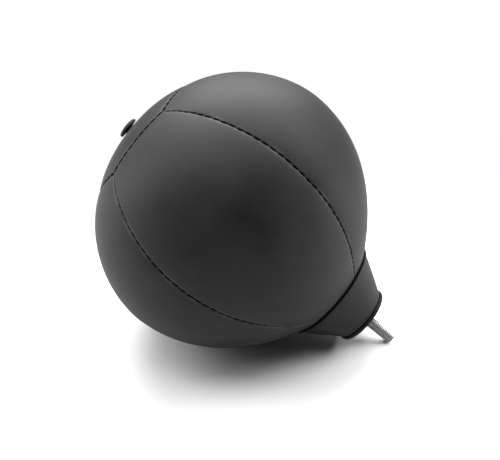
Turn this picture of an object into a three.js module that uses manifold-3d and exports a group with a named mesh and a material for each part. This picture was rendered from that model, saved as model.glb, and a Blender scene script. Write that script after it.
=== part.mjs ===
// Inflatable punching ball: six stitched leather gores and a crown patch over a rubber bladder.
// The necks of the gores are bound to a moulded core, and a bolt clamps the core to a base cap.
// The bolt's free end is the 3/8 inch stud that screws into a spring or a pole.
// Millimetres, +Z up. The ball's axis is Z, and z = 0 is the seat face of the base cap.
import * as THREE from 'three';
import { mergeVertices } from 'three/addons/utils/BufferGeometryUtils.js';
import Module from 'manifold-3d';

const wasm = await Module();
wasm.setup();
const { Manifold } = wasm;

// ---- sizes that can be set ----
const gap = 0.3; // air between pieces that touch on the real object
const ballDiameter = 230;
const crownHeight = 100; // widest circle up to the top of the leather
const neckDepth = 110.8; // widest circle down to the junction with the collar
const goreCount = 6;
const leather = 1.6; // cover thickness with its woven backing
const linerThickness = 0.8;
const linerRadius = 22;
const bladderWall = 1.0;
const patchCornerRadius = 58.3; // corners of the crown patch, from the axis
const patchBow = 0.5; // 0 is a patch with straight sides, 1 a round one

const junctionDiameter = 91.4; // collar and ball meet here
const collarLength = 35.5; // along the axis
const collarFootDiameter = 49.8;
const collarLeather = 1.4;
const hemWidth = 7; // foot of the collar, turned in and clamped
const pipingDiameter = 1.6;
const coreLipHeight = 4.5; // rim at the core's foot that the bound tails can't slip over
const bindingHeight = 6;
const bindingThickness = 1.6;

const capFlange = 3; // visible thickness of the base cap
const capOverhang = 0.8; // cap beyond the collar's foot
const capEdgeRadius = 1.2;
const capHubRadius = 14.2;
const capWeb = 3; // plastic between the washer and the core
const wrenchSpace = 2; // room for a socket round the nut's corners

const studDiameter = 9.5;
const studProtrusion = 33.8; // below the seat face
const studChamfer = 1.1;
const hexAcrossFlats = 14.3;
const boltHeadHeight = 6.2;
const nutHeight = 8.3;
const nutRecess = 0.4; // nut's face above the seat face
const washerRadius = 9.2;
const washerThickness = 1.6;
const lockWasherThickness = 2.4;
const lockWasherRadius = 8.7;
const padThickness = 3;
const padRadius = 16;

const valveBoreRadius = 3;
const valveWall = 1.4;
const valveStandProud = 0.9; // neck of the valve above the leather
const valveDepth = 16; // neck below the leather
const valveFlangeRadius = 14;
const valveFlangeThickness = 1.6;
const plugHeadDiameter = 18;
const plugRim = 1.5;
const plugDome = 2;
const plugStemLength = 15; // below the head
const plugClearance = 0.25;
const plugRibs = 3;

// ---- sizes that follow ----
const boreClearance = 0.3;
const boltBore = studDiameter / 2 + boreClearance;
const zHem = capFlange + gap;
const zJunction = zHem + collarLength;
const zEquator = zJunction + neckDepth;
const zCrown = zEquator + crownHeight;
const junctionRadius = junctionDiameter / 2;
const footRadius = collarFootDiameter / 2;
const collarSlope = (junctionRadius - footRadius) / collarLength; // radius gained per height
const coneStretch = Math.hypot(1, collarSlope); // radial size of a unit of wall
const coreFoot = zHem + collarLeather + gap;
const zLip = coreFoot + coreLipHeight;
const bladderOffset = leather + gap + linerThickness + gap;

// ---- helpers ----
const v2 = (r, z) => new THREE.Vector2(r, z);

// Radius of the collar's outer cone at a height.
const coneRadius = (z) => footRadius + (z - zHem) * collarSlope;

// Offset an open profile to its left by a distance; corners are mitred.
function offsetProfile(points, distance) {
  return points.map((point, i) => {
    const before = points[Math.max(i - 1, 0)];
    const after = points[Math.min(i + 1, points.length - 1)];
    const a = point.clone().sub(i > 0 ? before : point).normalize();
    const b = after.clone().sub(i < points.length - 1 ? point : before).normalize();
    const first = i > 0 ? a : b;
    const last = i < points.length - 1 ? b : a;
    const n1 = v2(-first.y, first.x);
    const n2 = v2(-last.y, last.x);
    return point.clone().addScaledVector(n1.add(n2), distance / (1 + first.dot(last)));
  });
}

// The same for a profile that ends at the valve's hole, which keeps its radius.
function offsetToHole(points, distance) {
  const profile = offsetProfile(points, distance);
  profile[profile.length - 1].x = points[points.length - 1].x;
  return profile;
}

// A closed ring or solid turned from a loop of [radius, height] points.
function turned(loop, segments) {
  const points = loop.map((p) => (p.isVector2 ? p : v2(...p)));
  const closed = points[0].x > 0 ? [...points, points[0].clone()] : points;
  const geometry = new THREE.LatheGeometry(closed, segments);
  return geometry.rotateX(Math.PI / 2);
}

// A prism whose outline lies in the XY plane.
function prism(outline, zLow, zHigh) {
  const geometry = new THREE.ExtrudeGeometry(new THREE.Shape(outline), {
    depth: zHigh - zLow,
    bevelEnabled: false,
  });
  return geometry.translate(0, 0, zLow);
}

const hexagonOutline = (acrossFlats) =>
  Array.from({ length: 6 }, (_, i) => {
    const angle = (i * Math.PI) / 3;
    const corner = acrossFlats / 2 / Math.cos(Math.PI / 6);
    return v2(corner * Math.cos(angle), corner * Math.sin(angle));
  });

function toManifold(geometry) {
  const bare = geometry.clone();
  bare.deleteAttribute('normal');
  bare.deleteAttribute('uv');
  const merged = mergeVertices(bare, 1e-4);
  const solid = new Manifold(
    new wasm.Mesh({
      numProp: 3,
      vertProperties: new Float32Array(merged.attributes.position.array),
      triVerts: new Uint32Array(merged.index.array),
    }),
  );
  if (solid.volume() < 0) throw new Error('a solid is inside out');
  return solid;
}

function toGeometry(solid) {
  const mesh = solid.getMesh();
  const geometry = new THREE.BufferGeometry();
  geometry.setAttribute('position', new THREE.BufferAttribute(mesh.vertProperties, 3));
  geometry.setIndex(new THREE.BufferAttribute(mesh.triVerts, 1));
  const flat = geometry.toNonIndexed();
  flat.computeVertexNormals();
  return flat;
}

// ---- materials ----
const finish = (color, roughness, metalness = 0) =>
  new THREE.MeshStandardMaterial({ color, roughness, metalness });
const greyLeather = finish(0x3b3a3c, 0.55);
const blackPiping = finish(0x121212, 0.6);
const wovenLining = finish(0xb9b3a6, 0.95);
const bladderRubber = finish(0x9c3b2e, 0.7);
const blackRubber = finish(0x1d1d1e, 0.65);
const blackPlastic = finish(0x1b1b1c, 0.45);
const waxedCord = finish(0xcfc8b4, 0.9);
const greyFelt = finish(0x6b6a68, 1.0);
const zincSteel = finish(0xc4c6c8, 0.3, 1);

const punchingBall = new THREE.Group();

function add(name, geometry, material) {
  const mesh = new THREE.Mesh(geometry, material);
  mesh.name = name;
  punchingBall.add(mesh);
  return mesh;
}

// ---- profile of the ball ----
// Two quarter curves meet at the widest circle; the lower one runs into the neck.
const ballRadius = ballDiameter / 2;
const tailTopRadius = junctionRadius - (collarLeather + gap) * coneStretch;
const flareSlope = 1.57; // radius gained per height where the ball leaves the neck
const flareReach = 0.203 * neckDepth;
const crownCurve = new THREE.CubicBezierCurve(
  v2(0, zCrown),
  v2(0.66 * ballRadius, zCrown),
  v2(ballRadius, zEquator + 0.435 * crownHeight),
  v2(ballRadius, zEquator),
);
const neckCurve = new THREE.CubicBezierCurve(
  v2(ballRadius, zEquator),
  v2(ballRadius, zEquator - 0.466 * neckDepth),
  v2(tailTopRadius + flareReach * flareSlope, zJunction + flareReach),
  v2(tailTopRadius, zJunction),
);

// Points of the ball from the neck up to a radius near the crown, seen from outside.
function ballProfile(crownRadius, neckSteps, crownSteps) {
  const upper = crownCurve.getSpacedPoints(400).filter((p) => p.x > crownRadius);
  const length = upper.length - 1;
  const kept = Array.from({ length: crownSteps + 1 }, (_, i) => {
    return upper[Math.round((length * i) / crownSteps)];
  });
  return [...neckCurve.getSpacedPoints(neckSteps).reverse(), ...kept.reverse().slice(1)];
}

// Height of the leather's outer surface near the crown.
function crownSurface(radius) {
  const points = crownCurve.getSpacedPoints(400);
  const above = points.findIndex((p) => p.x >= radius);
  if (above <= 0) return zCrown;
  const [a, b] = [points[above - 1], points[above]];
  return THREE.MathUtils.mapLinear(radius, a.x, b.x, a.y, b.y);
}

// ---- cover: gores and crown patch ----
// The tail of each gore follows the collar's cone, then steps in under its binding.
const zTailFoot = zLip + gap;
const zBindingTop = zTailFoot + bindingHeight + 1;
const tailRadius = (z) => coneRadius(z) - (collarLeather + gap) * coneStretch;
const bindingStep = bindingThickness + gap;
const tailProfile = [
  v2(tailRadius(zTailFoot) - bindingStep, zTailFoot),
  v2(tailRadius(zBindingTop) - bindingStep, zBindingTop),
  v2(tailRadius(zBindingTop + bindingStep), zBindingTop + bindingStep),
];
const valveNeckRadius = valveBoreRadius + valveWall;
const valveHoleRadius = valveNeckRadius + gap;
const coverOuter = [...tailProfile, ...ballProfile(valveHoleRadius, 14, 13)];
const coverInner = offsetToHole(coverOuter, leather);
const coverSegments = goreCount * 10;
const cover = toManifold(turned([...coverOuter, ...coverInner.slice().reverse()], coverSegments));

// Outline of the crown patch seen along the axis: sides bowed between straight and round.
function patchOutline(offset) {
  const steps = 6;
  const half = Math.PI / goreCount;
  const points = [];
  for (let side = 0; side < goreCount; side += 1) {
    for (let step = 0; step < steps; step += 1) {
      const fromMiddle = -half + (2 * half * step) / steps;
      const straight = (patchCornerRadius * Math.cos(half)) / Math.cos(fromMiddle);
      const radius = THREE.MathUtils.lerp(straight, patchCornerRadius, patchBow) + offset;
      const angle = fromMiddle + 2 * half * side - Math.PI / 2;
      points.push(v2(radius * Math.cos(angle), radius * Math.sin(angle)));
    }
  }
  return points;
}
const aboveAll = zCrown + ballRadius;
const patchCutter = toManifold(prism(patchOutline(gap / 2), zEquator, aboveAll));
const patchKeeper = toManifold(prism(patchOutline(-gap / 2), zEquator, aboveAll));

// One gore's wedge, centred on -Y, with half the gap along both seams.
const wedgeReach = 2 * ballRadius;
const wedgeHalf = Math.PI / goreCount;
const wedgeTip = gap / 2 / Math.sin(wedgeHalf);
const wedge = toManifold(
  prism(
    [
      v2(0, -wedgeTip),
      v2(-wedgeReach * Math.sin(wedgeHalf), -wedgeTip - wedgeReach * Math.cos(wedgeHalf)),
      v2(wedgeReach * Math.sin(wedgeHalf), -wedgeTip - wedgeReach * Math.cos(wedgeHalf)),
    ],
    -ballRadius,
    aboveAll,
  ),
);
const goreGeometry = toGeometry(cover.intersect(wedge).subtract(patchCutter));
for (let i = 0; i < goreCount; i += 1) {
  const gore = add(`gore_panel_${i + 1}`, goreGeometry, greyLeather);
  gore.rotation.z = (2 * Math.PI * i) / goreCount;
}
add('crown_patch', toGeometry(cover.intersect(patchKeeper)), greyLeather);

// ---- liner, bladder and valve under the crown ----
// A line that follows the crown between two radii, at a depth under the leather's outer face.
function crownLine(innerRadius, outerRadius, depth) {
  const steps = 4;
  return Array.from({ length: steps + 1 }, (_, i) => {
    const radius = THREE.MathUtils.lerp(innerRadius, outerRadius, i / steps);
    return v2(radius, crownSurface(radius) - depth);
  });
}
const linerDepth = leather + gap;
const linerTop = crownLine(valveHoleRadius, linerRadius, linerDepth);
const linerUnder = crownLine(valveHoleRadius, linerRadius, linerDepth + linerThickness);
add('crown_liner', turned([...linerUnder, ...linerTop.reverse()], 30), wovenLining);

const coreTop = zJunction - 0.8;
const bladderCover = ballProfile(valveHoleRadius, 7, 7);
const bladderOuter = offsetToHole(bladderCover, bladderOffset);
const bladderTuck = bladderOuter[0].x - 4;
const bladderInner = offsetToHole(bladderCover, bladderOffset + bladderWall);
const crownFrom = bladderInner.findIndex((p) => p.y > zEquator);
const bladderFloor = coreTop + gap;
const bladderLoop = [
  v2(0, bladderFloor),
  v2(bladderTuck, bladderFloor),
  ...bladderOuter,
  ...bladderInner.slice().reverse(),
  v2(bladderTuck - bladderWall, bladderFloor + bladderWall),
  v2(0, bladderFloor + bladderWall),
];
add('bladder', turned(bladderLoop, 30), bladderRubber);

// Height of a profile at a radius near the crown, between its own points.
function profileHeight(profile, radius) {
  const inward = profile.findIndex((p) => p.x <= radius);
  if (inward <= 0) return profile[profile.length - 1].y;
  const [a, b] = [profile[inward - 1], profile[inward]];
  return THREE.MathUtils.mapLinear(radius, a.x, b.x, a.y, b.y);
}
const flangeTop = [0, 0.25, 0.5, 0.75, 1].map((share) => {
  const radius = THREE.MathUtils.lerp(valveNeckRadius, valveFlangeRadius, share);
  return v2(radius, profileHeight(bladderInner.slice(crownFrom), radius) - gap);
});
const flangeUnder = flangeTop.map((p) => v2(p.x, p.y - valveFlangeThickness));
const valveTop = zCrown + valveStandProud;
const valveFoot = zCrown - valveDepth;
const valveLoop = [
  v2(valveBoreRadius, valveFoot),
  v2(valveNeckRadius, valveFoot),
  ...flangeUnder,
  ...flangeTop.slice().reverse(),
  v2(valveNeckRadius, valveTop),
  v2(valveBoreRadius, valveTop),
];
add('valve_body', turned(valveLoop, 32), blackRubber);

// ---- plug: domed head and a ribbed stem that fits the valve ----
const plugUnder = valveTop + gap;
const plugRadius = plugHeadDiameter / 2;
const stemRadius = valveBoreRadius - plugClearance;
const stemWaist = stemRadius - 0.5;
const plugTip = plugUnder - plugStemLength;
const ribPitch = plugStemLength / (plugRibs + 1);
const plugLoop = [v2(0, plugTip), v2(stemWaist * 0.6, plugTip)];
for (let i = 0; i < plugRibs; i += 1) {
  const z = plugTip + 1 + i * ribPitch;
  plugLoop.push(v2(stemRadius, z + 1.4), v2(stemRadius, z + 2), v2(stemWaist, z + 2.4));
}
plugLoop.push(v2(stemWaist, plugUnder), v2(plugRadius - 0.4, plugUnder));
plugLoop.push(v2(plugRadius, plugUnder + 0.4), v2(plugRadius, plugUnder + plugRim - 0.4));
for (let i = 0; i <= 5; i += 1) {
  const angle = (i / 5) * (Math.PI / 2);
  const rise = plugDome * Math.sin(angle);
  const reach = (plugRadius - 0.5) * Math.cos(angle);
  plugLoop.push(v2(i === 5 ? 0 : reach, plugUnder + plugRim + rise));
}
add('valve_plug', turned(plugLoop, 24), blackRubber);

// ---- neck: piping, collar, core, binding ----
const pipingRadius = pipingDiameter / 2;
const pipingReach = junctionRadius - 0.3;
const flareLength = Math.hypot(1, flareSlope);
const pipingRoom = (pipingRadius + gap) * flareLength;
const zPiping = zJunction + (pipingReach - tailTopRadius - pipingRoom) / flareSlope;
const piping = new THREE.TorusGeometry(pipingReach, pipingRadius, 8, 60);
add('neck_piping', piping.translate(0, 0, zPiping), blackPiping);

const collarTop = zPiping - pipingRadius - gap;
const collarWall = collarLeather * coneStretch;
const hemTop = zHem + collarLeather;
const hemInner = Math.max(footRadius - hemWidth, capHubRadius + gap); // the hem stops at the hub
const collarLoop = [
  v2(hemInner, zHem),
  v2(footRadius - 0.6, zHem),
  v2(coneRadius(zHem + 0.6), zHem + 0.6),
  v2(coneRadius(collarTop - 0.4), collarTop - 0.4),
  v2(coneRadius(collarTop) - 0.5, collarTop),
  v2(coneRadius(collarTop) - collarWall, collarTop),
  v2(coneRadius(hemTop) - collarWall, hemTop),
  v2(hemInner, hemTop),
];
add('collar_sleeve', turned(collarLoop, 60), greyLeather);

const tailLine = coverOuter.slice(0, 4);
const tailInside = offsetProfile(tailLine, leather + gap).slice(0, 3);
const coreReach = (z) => coneRadius(z) - collarWall - gap * coneStretch;
const shoulder = coreReach(coreTop) - (leather + gap) * coneStretch;
const hubTop = nutRecess + nutHeight + lockWasherThickness + washerThickness + 3 * gap + capWeb;
const padFloor = coreTop - padThickness - gap;
const pocketFloor = padFloor - gap - boltHeadHeight;
const coreLoop = [
  v2(capHubRadius + gap, coreFoot),
  v2(coreReach(coreFoot), coreFoot),
  v2(coreReach(zLip), zLip),
  v2(tailInside[0].x, zLip),
  ...tailInside,
  v2(shoulder, coreTop),
  v2(padRadius + gap, coreTop),
  v2(padRadius + gap, padFloor),
  v2(boltBore, padFloor),
  v2(boltBore, hubTop + gap),
  v2(capHubRadius + gap, hubTop + gap),
];
const pocket = toManifold(prism(hexagonOutline(hexAcrossFlats + 2 * gap), pocketFloor, coreTop));
add('neck_core', toGeometry(toManifold(turned(coreLoop, 48)).subtract(pocket)), blackPlastic);

const bindingFoot = zTailFoot + 0.5;
const bindingInner = (z) => tailRadius(z) - bindingStep + gap;
const bindingTop = bindingFoot + bindingHeight;
const bindingOuter = (z) => bindingInner(z) + bindingThickness - gap;
const bindingLoop = [
  v2(bindingInner(bindingFoot), bindingFoot),
  v2(bindingOuter(bindingFoot), bindingFoot),
  v2(bindingOuter(bindingTop), bindingTop),
  v2(bindingInner(bindingTop), bindingTop),
];
add('neck_binding', turned(bindingLoop, 48), waxedCord);

// ---- base: cap, bolt and its fasteners ----
const capRadius = footRadius + capOverhang;
const nutCorner = hexAcrossFlats / 2 / Math.cos(Math.PI / 6);
const counterbore = Math.max(nutCorner, washerRadius) + wrenchSpace;
const counterboreTop = hubTop - capWeb;
const edgeSteps = 3;
const capLoop = [v2(counterbore, 0)];
for (let i = 0; i <= edgeSteps; i += 1) {
  const angle = (i / edgeSteps) * (Math.PI / 2);
  const reach = capRadius - capEdgeRadius + capEdgeRadius * Math.sin(angle);
  capLoop.push(v2(reach, capEdgeRadius - capEdgeRadius * Math.cos(angle)));
}
for (let i = 0; i <= edgeSteps; i += 1) {
  const angle = (i / edgeSteps) * (Math.PI / 2);
  const reach = capRadius - capEdgeRadius + capEdgeRadius * Math.cos(angle);
  capLoop.push(v2(reach, capFlange - capEdgeRadius + capEdgeRadius * Math.sin(angle)));
}
capLoop.push(v2(capHubRadius, capFlange), v2(capHubRadius, hubTop - 0.8));
capLoop.push(v2(capHubRadius - 0.8, hubTop), v2(boltBore, hubTop));
capLoop.push(v2(boltBore, counterboreTop), v2(counterbore, counterboreTop));
add('base_cap', turned(capLoop, 48), blackPlastic);

const studRadius = studDiameter / 2;
const headFoot = pocketFloor + gap / 2;
const shankLoop = [
  v2(0, -studProtrusion),
  v2(studRadius - studChamfer, -studProtrusion),
  v2(studRadius, -studProtrusion + studChamfer),
  v2(studRadius, headFoot + 1),
  v2(0, headFoot + 1),
];
const head = toManifold(prism(hexagonOutline(hexAcrossFlats), headFoot, headFoot + boltHeadHeight));
add('anchor_bolt', toGeometry(head.add(toManifold(turned(shankLoop, 32)))), zincSteel);
const padLoop = [
  v2(0, padFloor + gap),
  v2(padRadius, padFloor + gap),
  v2(padRadius, coreTop),
  v2(0, coreTop),
];
add('bolt_head_pad', turned(padLoop, 32), greyFelt);

function washer(name, outer, zLow, thickness) {
  const loop = [
    v2(boltBore, zLow),
    v2(outer, zLow),
    v2(outer, zLow + thickness),
    v2(boltBore, zLow + thickness),
  ];
  add(name, turned(loop, 32), zincSteel);
}
const zLockWasher = nutRecess + nutHeight + gap;
washer('lock_washer', lockWasherRadius, zLockWasher, lockWasherThickness);
washer('clamp_washer', washerRadius, zLockWasher + lockWasherThickness + gap, washerThickness);

const nutBody = prism(hexagonOutline(hexAcrossFlats), nutRecess, nutRecess + nutHeight);
const nutHole = new THREE.CylinderGeometry(boltBore, boltBore, 3 * nutHeight, 32);
nutHole.rotateX(Math.PI / 2);
add('clamp_nut', toGeometry(toManifold(nutBody).subtract(toManifold(nutHole))), zincSteel);

export default punchingBall;
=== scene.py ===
# Inflatable punching ball: a sewn leather cover, its collar, cap, stud and plug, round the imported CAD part.
import math

import bpy
import numpy as np
from mathutils import Matrix, Vector


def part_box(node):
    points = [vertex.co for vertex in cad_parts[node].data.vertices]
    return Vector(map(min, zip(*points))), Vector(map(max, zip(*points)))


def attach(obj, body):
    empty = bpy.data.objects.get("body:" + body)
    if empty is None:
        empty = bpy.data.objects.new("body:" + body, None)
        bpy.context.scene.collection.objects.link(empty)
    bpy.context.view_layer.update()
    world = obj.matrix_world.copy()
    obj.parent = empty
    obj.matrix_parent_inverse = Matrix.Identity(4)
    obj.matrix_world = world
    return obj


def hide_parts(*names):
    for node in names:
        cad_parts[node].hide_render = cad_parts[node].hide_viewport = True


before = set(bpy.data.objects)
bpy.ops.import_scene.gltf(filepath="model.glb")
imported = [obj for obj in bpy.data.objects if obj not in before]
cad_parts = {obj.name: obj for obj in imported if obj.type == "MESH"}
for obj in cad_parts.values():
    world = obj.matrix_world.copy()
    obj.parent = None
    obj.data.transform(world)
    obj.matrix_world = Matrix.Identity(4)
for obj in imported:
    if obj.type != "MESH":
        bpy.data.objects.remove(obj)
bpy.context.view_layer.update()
mm = 0.001
print("frame loaded:", len(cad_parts), "nodes")


def degrees(value):
    return math.radians(value)


def boxOf(node):
    low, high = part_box(node)
    return np.array(low), np.array(high)


view = {
    "target": (-2.5 * mm, -4.6 * mm, 123.3 * mm),
    "distance": 538.7 * mm,
    "azimuth": 4.29,
    "elevation": 8.67,
    "roll": -51.35,  # the ball lies on its side, so the camera is turned about its own axis
    "lens": 46.96,
    "heightAngle": 29.2,  # of the camera above the surface that the ball lies on
}


def makeCamera(v):
    a, e, turn = (degrees(v[key]) for key in ("azimuth", "elevation", "roll"))
    back = Vector((math.sin(a) * math.cos(e), -math.cos(a) * math.cos(e), math.sin(e)))
    level = Vector((math.cos(a), math.sin(a), 0))
    plumb = back.cross(level)
    right = level * math.cos(turn) + plumb * math.sin(turn)
    up = back.cross(right)
    camera = bpy.data.objects.new("camera", bpy.data.cameras.new("camera"))
    camera.data.sensor_fit = "HORIZONTAL"
    camera.data.sensor_width = 36
    camera.data.lens = v["lens"]
    camera.data.clip_start, camera.data.clip_end = 0.01, 50
    place = Vector(v["target"]) + back * v["distance"]
    axes = Matrix((right, up, back)).transposed()
    camera.matrix_world = Matrix.Translation(place) @ axes.to_4x4()
    bpy.context.scene.collection.objects.link(camera)
    bpy.context.scene.camera = camera
    return np.array(right), np.array(up), np.array(back)


cameraRight, cameraUp, cameraBack = makeCamera(view)
tilt = degrees(view["heightAngle"])
floorUp = cameraUp * math.cos(tilt) + cameraBack * math.sin(tilt)
floorFront = cameraBack * math.cos(tilt) - cameraUp * math.sin(tilt)  # towards the camera
print("camera placed")


def addMesh(name, points, faces, body, slotName, material, smooth=True):
    # Faces are rows of three or four vertex numbers; they are turned outwards if the volume is negative.
    points = np.asarray(points, float)
    rows = [np.asarray(part, int) for part in faces]
    volume = sum(
        np.einsum("ij,ij->", points[part[:, 0]], np.cross(points[part[:, k]], points[part[:, k + 1]]))
        for part in rows
        for k in range(1, part.shape[1] - 1)
    )
    if volume < 0:
        rows = [part[:, ::-1] for part in rows]
    loops = np.concatenate([part.ravel() for part in rows])
    sizes = np.concatenate([np.full(len(part), part.shape[1]) for part in rows])
    starts = np.concatenate([[0], np.cumsum(sizes)[:-1]])
    mesh = bpy.data.meshes.new(name)
    mesh.vertices.add(len(points))
    mesh.vertices.foreach_set("co", points.astype(np.float32).ravel())
    mesh.loops.add(len(loops))
    mesh.loops.foreach_set("vertex_index", loops.astype(np.int32))
    mesh.polygons.add(len(starts))
    mesh.polygons.foreach_set("loop_start", starts.astype(np.int32))
    mesh.polygons.foreach_set("loop_total", sizes.astype(np.int32))
    mesh.update(calc_edges=True)
    mesh.validate()
    if smooth:
        mesh.shade_smooth()
    piece = bpy.data.objects.new(name, mesh)
    bpy.context.scene.collection.objects.link(piece)
    mesh.materials.append(material)
    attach(piece, body)
    return piece


def setAttribute(piece, name, values):
    layer = piece.data.attributes.new(name, "FLOAT", "POINT")
    layer.data.foreach_set("value", np.asarray(values, np.float32).ravel())


def quads(index):
    # Four-cornered faces between the neighbours of a grid of vertex numbers.
    return np.stack([index[:-1, :-1], index[:-1, 1:], index[1:, 1:], index[1:, :-1]], -1).reshape(-1, 4)


def closedAcross(index):
    return np.concatenate([index, index[:, :1]], 1)


def slab(outer, inner, ring=False):
    # Two grids of points that share their rim become one closed wall: outer face, inner face.
    rows, columns = outer.shape[:2]
    top = np.arange(rows * columns).reshape(rows, columns)
    rim = np.zeros((rows, columns), bool)
    rim[[0, -1], :] = True
    if not ring:
        rim[:, [0, -1]] = True
    under = top.copy()
    under[~rim] = rows * columns + np.arange((~rim).sum())
    points = np.concatenate([outer.reshape(-1, 3), inner[~rim]])
    if ring:
        top, under = closedAcross(top), closedAcross(under)
    return points, [quads(top), quads(under)[:, ::-1]], ~rim


def turned(profile, angles):
    # An outline of (radius, height) carried round the Z axis: x = radius cos angle, y = radius sin angle.
    profile = np.asarray(profile, float)
    r, z = profile[:, :1], profile[:, 1:2]
    return np.stack([r * np.cos(angles), r * np.sin(angles), z + 0 * angles], -1)


def ringFaces(grid):
    # Faces of a grid that closes both ways: round the axis and round the outline.
    rows, columns = grid.shape[:2]
    index = np.arange(rows * columns).reshape(rows, columns)
    index = closedAcross(np.concatenate([index, index[:1]], 0))
    return grid.reshape(-1, 3), [quads(index)]


def poleFaces(grid):
    # Faces of a grid whose first and last rows are single points on the axis.
    rows, columns = grid.shape[:2]
    count = (rows - 2) * columns
    index = closedAcross(np.arange(count).reshape(rows - 2, columns))
    points = np.concatenate([grid[1:-1].reshape(-1, 3), grid[0, :1], grid[-1, :1]])
    first, last = index[0], index[-1]
    low = np.stack([first[1:], first[:-1], np.full(columns, count)], -1)
    high = np.stack([last[:-1], last[1:], np.full(columns, count + 1)], -1)
    return points, [quads(index), low, high]


def roundSteps(count):
    return np.linspace(0, 2 * math.pi, count, endpoint=False)


def softened(outline, radius, steps=4):
    # A closed outline with each corner replaced by an arc-like curve that starts a radius away from it.
    outline = np.asarray(outline, float)
    before, after = np.roll(outline, 1, 0), np.roll(outline, -1, 0)
    toBefore, toAfter = before - outline, after - outline
    lengthBefore = np.linalg.norm(toBefore, axis=1, keepdims=True)
    lengthAfter = np.linalg.norm(toAfter, axis=1, keepdims=True)
    start = outline + toBefore / lengthBefore * np.minimum(radius, lengthBefore * 0.45)
    end = outline + toAfter / lengthAfter * np.minimum(radius, lengthAfter * 0.45)
    t = np.linspace(0, 1, steps + 1)[None, :, None]
    curve = (1 - t) ** 2 * start[:, None] + 2 * t * (1 - t) * outline[:, None] + t ** 2 * end[:, None]
    return curve.reshape(-1, 2)


def linear(hexColour):
    channels = [int(hexColour[i:i + 2], 16) / 255 for i in (1, 3, 5)]
    return tuple(c / 12.92 if c <= 0.04045 else ((c + 0.055) / 1.055) ** 2.4 for c in channels) + (1.0,)


def node(tree, kind, links=(), values=(), **settings):
    # One node: settings are its own properties, values its sockets' numbers, links its incoming sockets.
    made = tree.nodes.new(kind)
    for key, value in settings.items():
        setattr(made, key, value)
    for socket, value in dict(values).items():
        made.inputs[socket].default_value = value
    for socket, source in dict(links).items():
        tree.links.new(source, made.inputs[socket])
    return made


def newMaterial(name, **shader):
    material = bpy.data.materials.new(name)
    material.use_nodes = True
    tree = material.node_tree
    surface = tree.nodes["Principled BSDF"]
    for key, value in shader.items():
        surface.inputs[key.replace("_", " ")].default_value = value
    return material, tree, surface


def join(tree, surface, **sources):
    for key, source in sources.items():
        tree.links.new(source, surface.inputs[key.replace("_", " ")])


leatherLook = {
    "colour": "#141415",
    "faded": "#363638",  # tone of the paler clouds, mixed in by the share that follows
    "fade": 0.35,
    "wearAndHighlight": "#444446",  # paler along the fold of a seam: partly rubbed wear, partly painted highlight
    # painted shade: near black for the seams' cracks and the folded edges beside them
    "paintedCrackShade": "#020202",
    "grain": 1.5 * mm,  # pebble of the embossed coating, drawn coarser than the real 0.6 mm so that it shows
    "grainDepth": 0.12 * mm,
    "pore": 0.35 * mm,
    "poreDepth": 0.05 * mm,
    "mottle": 35 * mm,
    "roughness": 0.58,
    "gloss": 0.25,
}


def coatedLeather(name, look):
    # Polyurethane-coated leather, embossed and satin: a soft broad sheen that brightens towards the rim.
    material, tree, surface = newMaterial(name, Specular_IOR_Level=look["gloss"])
    place = node(tree, "ShaderNodeTexCoord").outputs["Object"]
    grain = node(tree, "ShaderNodeTexVoronoi", {"Vector": place},
                 {"Scale": 1 / look["grain"], "Randomness": 1.0}, feature="SMOOTH_F1")
    pores = node(tree, "ShaderNodeTexNoise", {"Vector": place}, {"Scale": 1 / look["pore"], "Detail": 2.0})
    mottle = node(tree, "ShaderNodeTexNoise", {"Vector": place}, {"Scale": 1 / look["mottle"], "Detail": 4.0})
    cloud = node(tree, "ShaderNodeMapRange", {"Value": mottle.outputs["Fac"]},
                 {"From Min": 0.3, "From Max": 0.7, "To Max": look["fade"]})
    base = node(tree, "ShaderNodeMix", {"Factor": cloud.outputs["Result"]},
                {"A": linear(look["colour"]), "B": linear(look["faded"])}, data_type="RGBA")
    # The fold attribute makes the seams' folded edges paler in places: partly rubbed wear, partly a painted
    # highlight.
    fold = node(tree, "ShaderNodeAttribute", attribute_name="fold")
    wearAndHighlight = node(tree, "ShaderNodeMix", {"Factor": fold.outputs["Fac"], "A": base.outputs["Result"]},
                {"B": linear(look["wearAndHighlight"])}, data_type="RGBA")
    # Painted shade: this attribute darkens the cracks and the folded edges near them to near black and takes
    # their gloss away.
    paintedCrackShade = node(tree, "ShaderNodeAttribute", attribute_name="paintedCrackShade")
    dark = node(tree, "ShaderNodeMix", {"Factor": paintedCrackShade.outputs["Fac"], "A": wearAndHighlight.outputs["Result"]},
                {"B": linear(look["paintedCrackShade"])}, data_type="RGBA")
    shine = node(tree, "ShaderNodeMapRange", {"Value": paintedCrackShade.outputs["Fac"]},
                 {"To Min": look["gloss"], "To Max": 0.0})
    rough = node(tree, "ShaderNodeMapRange", {"Value": mottle.outputs["Fac"]},
                 {"To Min": look["roughness"] - 0.06, "To Max": look["roughness"] + 0.08})
    pebbled = node(tree, "ShaderNodeBump", {"Height": grain.outputs["Distance"]},
                   {"Strength": 0.22, "Distance": look["grainDepth"]})
    pitted = node(tree, "ShaderNodeBump",
                  {"Height": pores.outputs["Fac"], "Normal": pebbled.outputs["Normal"]},
                  {"Strength": 0.12, "Distance": look["poreDepth"]})
    join(tree, surface, Base_Color=dark.outputs["Result"], Specular_IOR_Level=shine.outputs["Result"],
         Roughness=rough.outputs["Result"], Normal=pitted.outputs["Normal"])
    return material


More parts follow.
